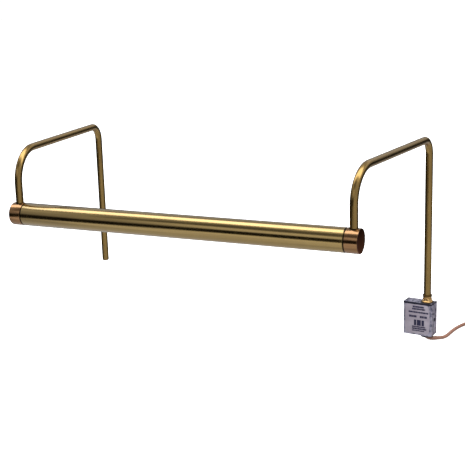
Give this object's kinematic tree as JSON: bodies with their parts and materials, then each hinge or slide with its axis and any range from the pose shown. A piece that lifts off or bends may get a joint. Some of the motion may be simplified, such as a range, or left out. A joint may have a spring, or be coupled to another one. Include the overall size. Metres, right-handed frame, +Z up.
{
  "type": "picture light",
  "caption": "Picture light: a slotted cylinder shade that turns between end caps, on bent tube arms that hook behind a picture, with a wiring box and corded plug.",
  "frame": {"origin": "midway between the two drop tubes, at the height where the brackets on the back of the picture frame hold them", "axes": "+X along the shade to the viewer's right, +Y away from the viewer towards the wall, +Z up"},
  "size_m": [0.8929, 0.4736, 0.3621],
  "materials": {
    "brushed_brass": "satin brushed along the shade, lacquered, antique tone",
    "bronze_cap": "satin turned bronze",
    "dark_bronze": "oxidised, satin",
    "antique_brass": "brushed antique tone",
    "polished_brass": "polished",
    "zinc_steel": "zinc plated sheet",
    "label_film": "matt metallised film with plain dark bars",
    "bright_steel": "zinc plated",
    "white_enamel": "matt white enamel",
    "porcelain": "glazed ceramic",
    "lamp_glass": "frosted",
    "lead_insulation": "woven sleeve",
    "black_nylon": "moulded",
    "tan_vinyl": "satin vinyl",
    "switch_plastic": "moulded, fine texture",
    "orange_plastic": "moulded",
    "green_screw": "green passivated steel"
  },
  "bodies": {
    "frame": {"left_end_cap": "bronze_cap", "right_end_cap": "bronze_cap", "left_pivot_plate": "dark_bronze", "right_pivot_plate": "dark_bronze", "left_friction_washer": "bright_steel", "right_friction_washer": "bright_steel", "left_pivot_nut": "bright_steel", "right_pivot_nut": "bright_steel", "left_arm": "antique_brass", "right_arm": "antique_brass", "left_leg_nipple": "bright_steel", "right_leg_nipple": "bright_steel", "left_leg_nut": "polished_brass", "right_leg_nut": "polished_brass", "left_arm_end_plug": "antique_brass", "arm_lead": "lead_insulation", "fitting_collar": "dark_bronze", "fitting_ring": "polished_brass", "fitting_nut": "polished_brass", "box_nipple": "bright_steel", "box_lock_nut": "bright_steel", "box_body": "zinc_steel", "box_cover": "zinc_steel", "rating_label": "label_film", "left_cover_screw": "bright_steel", "right_cover_screw": "bright_steel", "ground_screw": "green_screw", "wire_connector_1": "orange_plastic", "wire_connector_2": "orange_plastic", "cord_bushing": "black_nylon", "cord_from_box": "tan_vinyl", "cord_to_coil": "tan_vinyl", "cord_coil": "tan_vinyl", "cord_to_plug": "tan_vinyl", "cord_tie": "black_nylon", "switch_lower_shell": "switch_plastic", "switch_upper_shell": "switch_plastic", "plug_body": "tan_vinyl", "plug_line_blade": "polished_brass", "plug_neutral_blade": "polished_brass", "plug_ground_pin": "polished_brass"},
    "shade": {"shade_tube": "brushed_brass", "left_shade_disc": "brushed_brass", "right_shade_disc": "brushed_brass", "reflector": "white_enamel", "lamp_rail": "bright_steel", "lampholder_1": "porcelain", "lampholder_2": "porcelain", "lampholder_3": "porcelain", "tubular_lamp_1": "lamp_glass", "tubular_lamp_2": "lamp_glass", "tubular_lamp_3": "lamp_glass", "lamp_lead": "lead_insulation"},
    "switch_wheel": {"switch_wheel": "black_nylon"}
  },
  "joints": [
    {"name": "shade_turn", "type": "hinge", "parent": "frame", "child": "shade", "pos_m": [0, -0.30351, 0.03], "axis": [1, 0, 0], "range_deg": [-45, 45]},
    {"name": "switch_wheel_turn", "type": "hinge", "parent": "frame", "child": "switch_wheel", "pos_m": [0.436, 0.134, -0.2138], "axis": [0, 0, 1], "continuous": true}
  ]
}
